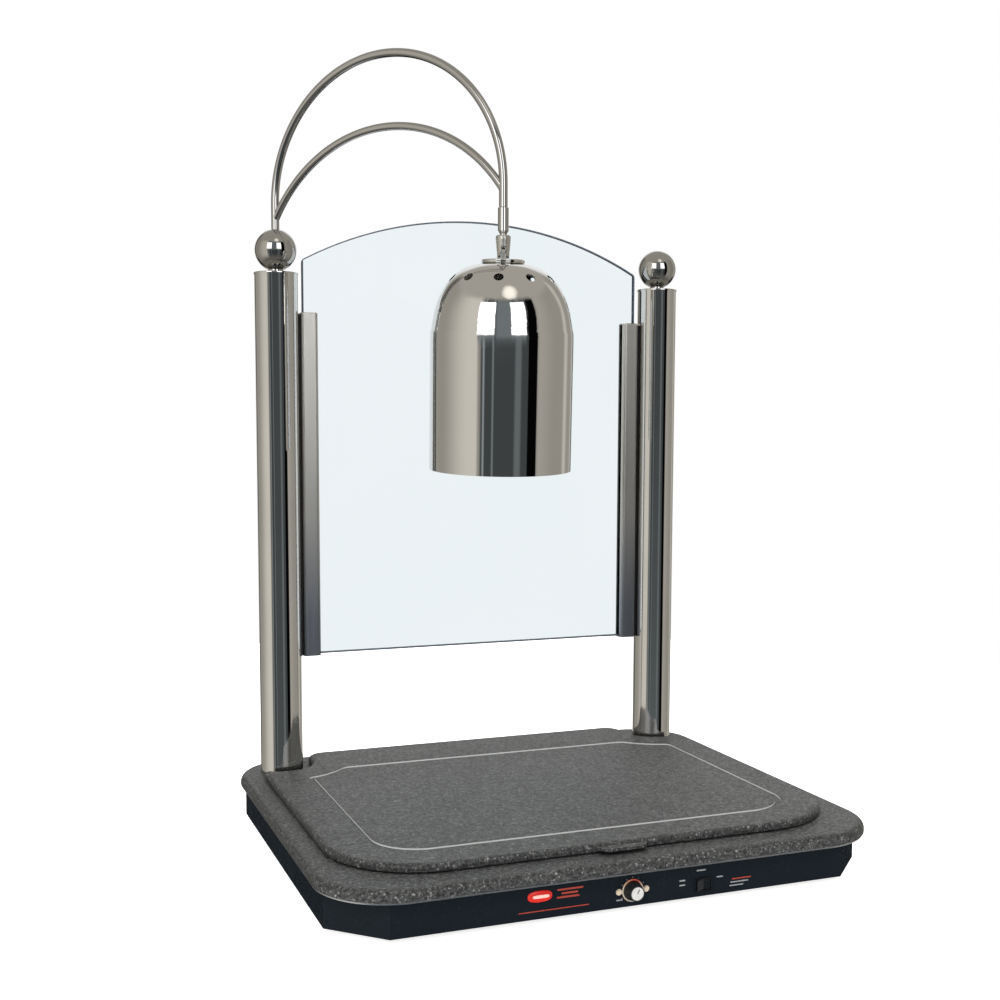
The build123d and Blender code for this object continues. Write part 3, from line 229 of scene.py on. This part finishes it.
def stone(name):
    """Dark composite stone: fine grey ground with dark and light chips of several sizes."""
    t = Tree(name)
    x, y, z = t.axes()[0], t.axes()[1], t.axes()[2]
    up = t.normal()[2]
    # The flat top is honed and looks finer; the rounded edges show the full contrast of the chips.
    edge = t.span(up, 0.97, 0.8)
    ground = t.ramp(t.noise(430.0, 6.0, 0.75), [
        (0.36, (0.01, 0.011, 0.011)), (0.5, (0.03, 0.032, 0.032)), (0.64, (0.105, 0.11, 0.107)),
    ])
    top = t.ramp(t.noise(240.0, 7.0, 0.85), [
        (0.38, (0.011, 0.012, 0.012)), (0.5, (0.038, 0.04, 0.04)), (0.62, (0.13, 0.135, 0.133)),
    ])
    body = t.mix(edge, top, ground)
    dark = grains(t, 300.0, "Blue", 0.45, 0.6)
    body = t.mix(t.math("MULTIPLY", dark, t.span(edge, 0, 1, 0.4, 0.9)), body, (0.008, 0.008, 0.009))
    light = grains(t, 380.0, "Red", 0.66, 0.46)
    body = t.mix(t.math("MULTIPLY", light, t.span(edge, 0, 1, 0.42, 0.75)), body, (0.22, 0.226, 0.22))
    big = grains(t, 210.0, "Green", 0.86, 0.34)
    body = t.mix(t.math("MULTIPLY", big, t.span(edge, 0, 1, 0.6, 0.8)), body, (0.3, 0.305, 0.29))
    # The upright walls of the groove are coloured pale, which draws a light line round the board.
    inside_x = t.band(x, -GROOVE_X, GROOVE_X, 0.0005)
    inside_y = t.band(y, GROOVE_FRONT, GROOVE_BACK, 0.0005)
    inside = t.math("MULTIPLY", inside_x, inside_y)
    cut = t.math("MULTIPLY", inside, t.span(z, BOARD_TOP - 0.00002, BOARD_TOP - 0.0001))
    cut = t.math("MULTIPLY", cut, t.span(t.math("ABSOLUTE", up), 0.6, 0.4))
    body = t.mix(cut, body, (0.72, 0.73, 0.73))
    t.colour(body)
    t.rough(t.span(t.noise(300.0, 4.0, 0.6), 0.3, 0.7, 0.46, 0.64))
    t.bump(t.noise(900.0, 3.0, 0.6), 0.14, 0.0003)
    return t.mat


GLASS_HALF, GLASS_FOOT, ARC_CENTRE, ARC_RADIUS = 0.221, 0.197, 0.270, 0.4605
GLASS_PAINTED_EDGE = 0.0012


def glass(name):
    """Clear panel: pale blue through its faces, with painted shade: a dark, opaque band along its outline
    where the cut edge is seen.
    """
    t = Tree(name)
    tint = t.mix(t.span(t.noise(4.0, 2.0, 0.5), 0.3, 0.7), (0.83, 0.886, 0.908), (0.845, 0.897, 0.917))
    x, z = t.axes()[0], t.axes()[2]
    rise = t.math("SUBTRACT", z, ARC_CENTRE)
    reach = t.math("SQRT", t.math("ADD", t.math("MULTIPLY", x, x), t.math("MULTIPLY", rise, rise)))
    arc = t.span(reach, ARC_RADIUS - GLASS_PAINTED_EDGE - 0.0004, ARC_RADIUS - GLASS_PAINTED_EDGE)
    side = t.span(t.math("ABSOLUTE", x), GLASS_HALF - GLASS_PAINTED_EDGE - 0.0004, GLASS_HALF - GLASS_PAINTED_EDGE)
    foot = t.span(z, GLASS_FOOT + GLASS_PAINTED_EDGE + 0.0004, GLASS_FOOT + GLASS_PAINTED_EDGE)
    # Painted shade: the band along the outline is dark and lets no light through, in place of the edge's
    # own refraction.
    edge = t.math("MAXIMUM", arc, t.math("MAXIMUM", side, foot))
    t.colour(t.mix(edge, tint, (0.08, 0.1, 0.13)))
    t.join(t.math("SUBTRACT", 1.0, edge), t.bsdf.inputs["Transmission Weight"])
    t.set(IOR=1.1, Roughness=0.0, Specular_IOR_Level=0.5)
    return t.mat


def dial_ring(name, centre_x, centre_z):
    """Printed ring: cream on the cold side, turning orange-red over the top."""
    t = Tree(name)
    out = t.axes()
    dx = t.math("SUBTRACT", out[0], centre_x)
    dz = t.math("SUBTRACT", out[2], centre_z)
    turn = t.math("ARCTAN2", dx, dz)
    stops = [
        (0.0, (0.3, 0.27, 0.23)), (0.3, (0.55, 0.47, 0.36)), (0.42, (0.62, 0.3, 0.18)),
        (0.5, (0.6, 0.075, 0.03)), (0.6, (0.5, 0.06, 0.03)), (0.68, (0.62, 0.5, 0.38)),
        (1.0, (0.3, 0.27, 0.23)),
    ]
    t.colour(t.ramp(t.span(turn, -math.pi, math.pi), stops))
    t.rough(t.span(t.noise(700.0, 2.0, 0.5), 0.3, 0.7, 0.3, 0.45))
    return t.mat


def enamel(name):
    """Black baked enamel with a faint orange-peel surface."""
    t = Tree(name)
    cloud = t.span(t.noise(8.0, 3.0, 0.5), 0.35, 0.65)
    t.colour(t.mix(cloud, (0.0075, 0.0105, 0.0145), (0.0085, 0.012, 0.016)))
    t.rough(t.span(t.noise(90.0, 3.0, 0.6), 0.3, 0.7, 0.2, 0.3))
    t.bump(t.noise(700.0, 2.0, 0.5), 0.008, 0.0001)
    t.set(Specular_IOR_Level=0.05)
    return t.mat


MATERIALS = {
    "polished_chrome": metal(
        "polished_chrome", (0.66, 0.655, 0.64), (0.62, 0.615, 0.6), 0.03, 0.07,
        # Painted shade: the chrome above the post tops, and again above 0.7 m, is coloured darker than on
        # the posts.
        painted_shading_by_height=[
            (POST_TOP, POST_TOP + 0.003, (0.46, 0.455, 0.44)), (0.7, 0.705, (0.45, 0.445, 0.435)),
        ],
        level=True,
    ),
    "polished_shade": metal("polished_shade", (0.67, 0.665, 0.65), (0.65, 0.645, 0.63), 0.02, 0.045),
    "satin_metal": metal(
        "satin_metal", (0.27, 0.29, 0.33), (0.25, 0.27, 0.31), 0.28, 0.42, 0.15,
        # Painted shading: dark blue-grey low down, paler and warmer higher up.
        painted_shading_by_height=[(0.24, 0.36, (0.5, 0.49, 0.47)), (0.36, 0.6, (0.56, 0.545, 0.51))],
    ),
    "steel_hardware": metal("steel_hardware", (0.5, 0.5, 0.5), (0.36, 0.36, 0.37), 0.2, 0.4, 0.2),
    "zinc_sheet": metal("zinc_sheet", (0.5, 0.51, 0.52), (0.38, 0.39, 0.4), 0.3, 0.5, 0.2, "X"),
    "aluminium_plate": metal("aluminium_plate", (0.62, 0.65, 0.7), (0.55, 0.58, 0.62), 0.3, 0.45, 0.2, "X"),
    "bright_inlay": plastic("bright_inlay", (0.62, 0.62, 0.61), (0.45, 0.45, 0.44), 0.2, 0.32, 0.04),
    "brass": metal("brass", (0.72, 0.55, 0.28), (0.55, 0.4, 0.2), 0.22, 0.4, 0.1),
    "black_enamel": enamel("black_enamel"),
    "stone": stone("stone"),
    "clear_glass": glass("clear_glass"),
    "rubber": plastic("rubber", (0.012, 0.012, 0.013), (0.02, 0.02, 0.02), 0.6, 0.8, 0.15),
    "black_knob": plastic("black_knob", (0.008, 0.009, 0.01), (0.013, 0.014, 0.015), 0.3, 0.45),
    "black_plastic": plastic("black_plastic", (0.006, 0.008, 0.011), (0.01, 0.012, 0.015), 0.18, 0.3),
    "phenolic": plastic("phenolic", (0.02, 0.018, 0.016), (0.03, 0.026, 0.022), 0.45, 0.6),
    "silicone": plastic("silicone", (0.35, 0.08, 0.03), (0.28, 0.06, 0.02), 0.5, 0.65, 0.3, 500.0),
    "insulation": plastic("insulation", (0.75, 0.73, 0.66), (0.6, 0.57, 0.5), 0.85, 0.95, 0.6, 400.0),
    "ceramic": plastic("ceramic", (0.82, 0.8, 0.74), (0.74, 0.71, 0.64), 0.5, 0.7, 0.2, 600.0),
    "lead_cover": plastic("lead_cover", (0.5, 0.48, 0.44), (0.4, 0.38, 0.35), 0.45, 0.6, 0.3, 700.0),
    "cream_screws": plastic("cream_screws", (0.62, 0.52, 0.4), (0.52, 0.42, 0.31), 0.3, 0.45),
    "bulb_glass": plastic("bulb_glass", (0.82, 0.8, 0.76), (0.74, 0.72, 0.68), 0.25, 0.4, 0.1, 300.0),
    "bezel_print": dial_ring("bezel_print", 0.002, 0.021),
}

for entry in RECORD["subparts"]:
    mesh = NODES[entry["node"]].data
    mesh.materials.clear()
    mesh.materials.append(MATERIALS[entry["material_slot"]])


# ---------------------------------------------------------------- panel graphics
PANEL_Y = -0.2519
PRINT_T = 0.00025


def printed(name, base, second, gloss=0.3):
    t = Tree(name)
    t.colour(t.mix(t.span(t.noise(300.0, 3.0, 0.6), 0.35, 0.7), base, second))
    t.rough(t.span(t.noise(800.0, 2.0, 0.5), 0.3, 0.7, gloss, gloss + 0.15))
    return t.mat


INK = {
    "badge_red": printed("badge_red", (0.62, 0.018, 0.01), (0.5, 0.012, 0.008), 0.15),
    "badge_pale": printed("badge_pale", (0.85, 0.55, 0.48), (0.75, 0.42, 0.36)),
    "orange_ink": printed("orange_ink", (0.38, 0.038, 0.018), (0.28, 0.026, 0.013)),
    "grey_ink": printed("grey_ink", (0.3, 0.31, 0.32), (0.2, 0.21, 0.22)),
}


def link(name, mesh, ink):
    piece = bpy.data.objects.new(name, mesh)
    bpy.context.scene.collection.objects.link(piece)
    mesh.materials.append(INK[ink])
    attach(piece, "base")
    return piece


def outline(half_w, half_h, power, count=40):
    """Points of a rounded rectangle or lens, as a superellipse."""
    for index in range(count):
        angle = 2 * math.pi * index / count
        c, s = math.cos(angle), math.sin(angle)
        yield (
            half_w * math.copysign(abs(c) ** (2 / power), c),
            half_h * math.copysign(abs(s) ** (2 / power), s),
        )


def mark(name, x, z, half_w, half_h, ink, power=8, dome=0.0, proud=0.0):
    """A printed or enamelled shape on the front panel, slightly domed where asked."""
    shape = bmesh.new()
    rings = []
    steps = 5 if dome else 1
    for step in range(steps + 1):
        shrink = 1.0 if step == 0 else math.cos((step - 1) / steps * math.pi / 2)
        rise = 0.0 if step == 0 else PRINT_T + dome * math.sin((step - 1) / steps * math.pi / 2)
        ring = [
            shape.verts.new((x + shrink * u, PANEL_Y - proud - rise, z + shrink * v))
            for u, v in outline(half_w, half_h, power)
        ]
        rings.append(ring)
    for low, high in zip(rings, rings[1:]):
        for index in range(len(low)):
            after = (index + 1) % len(low)
            shape.faces.new((low[index], low[after], high[after], high[index]))
    shape.faces.new(rings[-1])
    bmesh.ops.recalc_face_normals(shape, faces=shape.faces)
    mesh = bpy.data.meshes.new(name)
    shape.to_mesh(mesh)
    shape.free()
    for face in mesh.polygons:
        face.use_smooth = bool(dome)
    return link(name, mesh, ink)


mark("badge", -0.0972, 0.0277, 0.0128, 0.0058, "badge_red", power=2.6, dome=0.0012)
mark("badge_bar", -0.0964, 0.0277, 0.0086, 0.0016, "badge_pale", power=4, proud=0.0014)
for row, (left, right) in enumerate(((-0.079, -0.0515), (-0.0745, -0.057), (-0.0795, -0.0555))):
    middle, half = (left + right) / 2, (right - left) / 2
    mark(f"print_row_{row}", middle, 0.0315 - 0.0038 * row, half, 0.0009, "orange_ink")
mark("rule", -0.0822, 0.0131, 0.037, 0.0005, "orange_ink", power=20)
BARS = [
    ("switch_tick_top", 0.0789, 0.0322, 0.0052, 0.0007, "grey_ink"),
    ("switch_tick_left_upper", 0.0575, 0.0238, 0.0032, 0.0007, "grey_ink"),
    ("switch_tick_left_lower", 0.0575, 0.0191, 0.0032, 0.0007, "grey_ink"),
    ("switch_tick_right", 0.1005, 0.0230, 0.0036, 0.0006, "grey_ink"),
    ("side_row_0", 0.1258, 0.0187, 0.0112, 0.0006, "orange_ink"),
    ("side_row_1", 0.1235, 0.0154, 0.0105, 0.0006, "grey_ink"),
    ("side_row_2", 0.1200, 0.0119, 0.0080, 0.0006, "grey_ink"),
    ("dial_tick", -0.0123, 0.0128, 0.0034, 0.0006, "grey_ink"),
]
for name, x, z, half_w, half_h, ink in BARS:
    mark(name, x, z, half_w, half_h, ink, power=12)
DIAL_X, DIAL_Z, DOT_RING, DOT_R = 0.002, 0.021, 0.0134, 0.0004
for index in range(9):
    # Plain graduation dots round the dial, but none on its two screw ears.
    swing = math.radians(-120 + 30 * index)
    if abs(math.sin(swing)) < 0.95:
        dot_x, dot_z = DIAL_X + DOT_RING * math.sin(swing), DIAL_Z + DOT_RING * math.cos(swing)
        mark(f"dial_dot_{index}", dot_x, dot_z, DOT_R, DOT_R, "grey_ink", power=2)


# ---------------------------------------------------------------- stage
def stage_material(name, colour, rough, emit=None):
    t = Tree(name)
    t.colour(t.mix(t.span(t.noise(2.0, 3.0, 0.5), 0.3, 0.7), colour, tuple(c * 0.985 for c in colour)))
    t.set(Roughness=rough)
    return t


floor_tree = stage_material("floor_paint", (0.93, 0.93, 0.93), 0.9)
mesh = bpy.data.meshes.new("floor")
sweep = bmesh.new()
bmesh.ops.create_circle(sweep, cap_ends=True, radius=1.5, segments=96)
sweep.to_mesh(mesh)
sweep.free()
floor = bpy.data.objects.new("floor", mesh)
bpy.context.scene.collection.objects.link(floor)
mesh.materials.append(floor_tree.mat)
floor.location.z = -0.0005
floor.visible_glossy = False
floor.visible_transmission = False
# The floor pales to the backdrop's white away from the object.
dist = floor_tree.add("ShaderNodeVectorMath", operation="LENGTH")
floor_tree.join(floor_tree.coord, dist.inputs[0])
fade = floor_tree.span(dist.outputs["Value"], 0.3, 0.9, 0.75, 1.0)
floor_tree.set(Emission_Color=(1, 1, 1, 1))
floor_tree.join(fade, floor_tree.bsdf.inputs["Emission Strength"])

scene = bpy.context.scene
scene.view_settings.view_transform = "Standard"
world = bpy.data.worlds.new("studio")
scene.world = world
world.use_nodes = True
wn, wl = world.node_tree.nodes, world.node_tree.links
back = wn["Background"]
out = wn["World Output"]
coord = wn.new("ShaderNodeTexCoord")
split = wn.new("ShaderNodeSeparateXYZ")
wl.new(coord.outputs["Generated"], split.inputs["Vector"])


def wmath(kind, a, b=None):
    node = wn.new("ShaderNodeMath")
    node.operation = kind
    for socket, value in zip(node.inputs, (a, b)):
        if value is None:
            continue
        if isinstance(value, (int, float)):
            socket.default_value = value
        else:
            wl.new(value, socket)
    return node.outputs["Value"]


def wspan(source, low, high, to_low=0.0, to_high=1.0):
    node = wn.new("ShaderNodeMapRange")
    node.interpolation_type = "SMOOTHSTEP"
    wl.new(source, node.inputs["Value"])
    for name, value in (("From Min", low), ("From Max", high), ("To Min", to_low), ("To Max", to_high)):
        node.inputs[name].default_value = value
    return node.outputs["Result"]


def wmix(fac, a, b):
    node = wn.new("ShaderNodeMix")
    node.data_type = "RGBA"
    wl.new(fac, node.inputs[0])
    for socket, value in ((node.inputs[6], a), (node.inputs[7], b)):
        if isinstance(value, tuple):
            socket.default_value = (*value, 1.0)
        else:
            wl.new(value, socket)
    return node.outputs[2]


# Azimuth of the direction in degrees: 0 towards the camera's side, positive to its right.
# Under it, climb is the elevation in degrees.
CAMERA_SIDE = math.radians(21.7)
turn = wmath("ARCTAN2", split.outputs["X"], split.outputs["Y"])
turn = wmath("ADD", turn, -CAMERA_SIDE)
turn = wmath("DIVIDE", turn, 2 * math.pi)
turn = wmath("FRACT", turn)
side = wmath("MULTIPLY", wmath("SUBTRACT", 0.5, turn), 360.0)
climb = wmath("MULTIPLY", wmath("ARCSINE", split.outputs["Z"]), 180.0 / math.pi)
# The room's two tints. Each of its colours is one of them, or white, times a level.
WARM = (1.0, 0.95, 0.85)
COOL = (0.85, 0.95, 1.0)
WHITE = (1.0, 1.0, 1.0)
# Upright screens round the object: left and right edge, softness of each edge, tint, level.
SCREENS = [
    (-110, -35, 60, 5, WARM, 0.8),
    (60, 100, 5, 40, WARM, 0.5),
    (115, 135, 10, 10, WARM, 0.7),
    (-145, -125, 5, 5, WARM, 0.15),
    (-35, 60, 5, 5, COOL, 0.08),
    (-30, -25, 2, 2, COOL, 0.4),
    (-15, -10, 2, 2, COOL, 0.25),
    (20, 35, 5, 5, COOL, 0.2),
]


def tinted(tint, level):
    return tuple(level * part for part in tint)


def screen(left, right, soft_left, soft_right):
    """1 between two azimuths at every height."""
    rise = wspan(side, left, left + soft_left)
    fall = wspan(side, right, right - soft_right)
    return wmath("MULTIPLY", rise, fall)


def opening(left, right, low, high, soft_side, soft_low, soft_high):
    """1 inside a rectangle of azimuth and elevation, in degrees, with soft edges."""
    across = screen(left, right, soft_side, soft_side)
    rise = wspan(climb, low - soft_low, low)
    fall = wspan(climb, high, high - soft_high)
    return wmath("MULTIPLY", across, wmath("MULTIPLY", rise, fall))


studio = wmix(wspan(wmath("ABSOLUTE", side), 145, 165), tinted(WARM, 0.4), WHITE)
for left, right, soft_left, soft_right, tint, level in SCREENS:
    studio = wmix(screen(left, right, soft_left, soft_right), studio, tinted(tint, level))
# Blue-grey haze between the two windows, over the dark room behind the camera.
studio = wmix(opening(-12, 22, 1, 44, 6, 7, 10), studio, tinted(COOL, 0.25))
studio = wmix(wspan(climb, 35, 45), studio, tinted(WARM, 0.5))
# Tall black curtain on the right, pointed at its top.
studio = wmix(opening(43, 61, -30, 41, 2, 8, 6), studio, tinted(WHITE, 0.002))
studio = wmix(wspan(climb, -20, -50), studio, tinted(WARM, 0.2))
# Dark floor beyond the object on both sides, which keeps the enamelled flanks dark.
FLOOR_SIDES = ((-178, -118), (118, 178))
for left, right in FLOOR_SIDES:
    studio = wmix(opening(left, right, -60, -11, 8, 10, 3), studio, tinted(COOL, 0.03))
# Two windows, each bright inside a dim skirt.
WINDOWS = ((-40, -10), (15, 42))
for left, right in WINDOWS:
    studio = wmix(opening(left, right, 1, 36, 4, 6, 2), studio, tinted(COOL, 0.3))
    studio = wmix(opening(left, right, 6, 36, 2, 6, 2), studio, tinted(WHITE, 2.6))
glow = wn.new("ShaderNodeVectorMath")
glow.operation = "DOT_PRODUCT"
GLOW_SIDE, GLOW_CLIMB = math.pi + CAMERA_SIDE - math.radians(18), math.radians(51)
glow.inputs[1].default_value = (
    math.sin(GLOW_SIDE) * math.cos(GLOW_CLIMB),
    math.cos(GLOW_SIDE) * math.cos(GLOW_CLIMB),
    math.sin(GLOW_CLIMB),
)
wl.new(coord.outputs["Generated"], glow.inputs[0])
GLOW_EDGE, GLOW_CORE = math.cos(math.radians(13)), math.cos(math.radians(3))
studio = wmix(wspan(glow.outputs["Value"], GLOW_EDGE, GLOW_CORE), studio, tinted(WARM, 1.5))
wl.new(studio, back.inputs["Color"])
back.inputs["Strength"].default_value = 1.0
seen = wn.new("ShaderNodeLightPath")
white = wn.new("ShaderNodeBackground")
white.inputs["Color"].default_value = (1, 1, 1, 1)
pick = wn.new("ShaderNodeMixShader")
wl.new(wmath("MAXIMUM", seen.outputs["Is Camera Ray"], seen.outputs["Is Transmission Ray"]), pick.inputs[0])
wl.new(back.outputs[0], pick.inputs[1])
wl.new(white.outputs[0], pick.inputs[2])
wl.new(pick.outputs[0], out.inputs["Surface"])


def softbox(name, place, aim, size, power):
    """A rectangular light that brightens surfaces but isn't mirrored in them."""
    data = bpy.data.lights.new(name, "AREA")
    data.shape = "RECTANGLE"
    data.size, data.size_y = size
    data.energy = power
    lamp = bpy.data.objects.new(name, data)
    scene.collection.objects.link(lamp)
    lamp.location = place
    lamp.rotation_euler = (Vector(aim) - Vector(place)).to_track_quat("-Z", "Y").to_euler()
    lamp.visible_glossy = False


softbox("key", (-2.2, -1.8, 2.9), (0, 0, 0.3), (1.6, 1.6), 45)
softbox("fill", (2.6, -1.6, 2.4), (0, 0, 0.3), (1.4, 1.8), 30)
softbox("top", (0.0, 0.3, 3.4), (0, 0, 0), (2.4, 2.0), 60)


# ---------------------------------------------------------------- camera
YAW, PITCH, ROLL = CAMERA_SIDE, math.radians(5.44), math.radians(0.25)
forward = Vector((math.sin(YAW) * math.cos(PITCH), math.cos(YAW) * math.cos(PITCH), -math.sin(PITCH)))
right = Vector((math.cos(YAW), -math.sin(YAW), 0.0))
up = right.cross(forward)
right, up = (
    math.cos(ROLL) * right + math.sin(ROLL) * up,
    math.cos(ROLL) * up - math.sin(ROLL) * right,
)
camera = bpy.data.objects.new("camera", bpy.data.cameras.new("camera"))
scene.collection.objects.link(camera)
CAMERA_AT = (-0.580, -1.4147, 0.481)
facing = Matrix((right, up, -forward)).transposed().to_4x4()
camera.matrix_world = Matrix.Translation(CAMERA_AT) @ facing
camera.data.sensor_width = 36.0
camera.data.lens = 48.53
camera.data.shift_x = -0.022
camera.data.shift_y = 0.051
scene.camera = camera
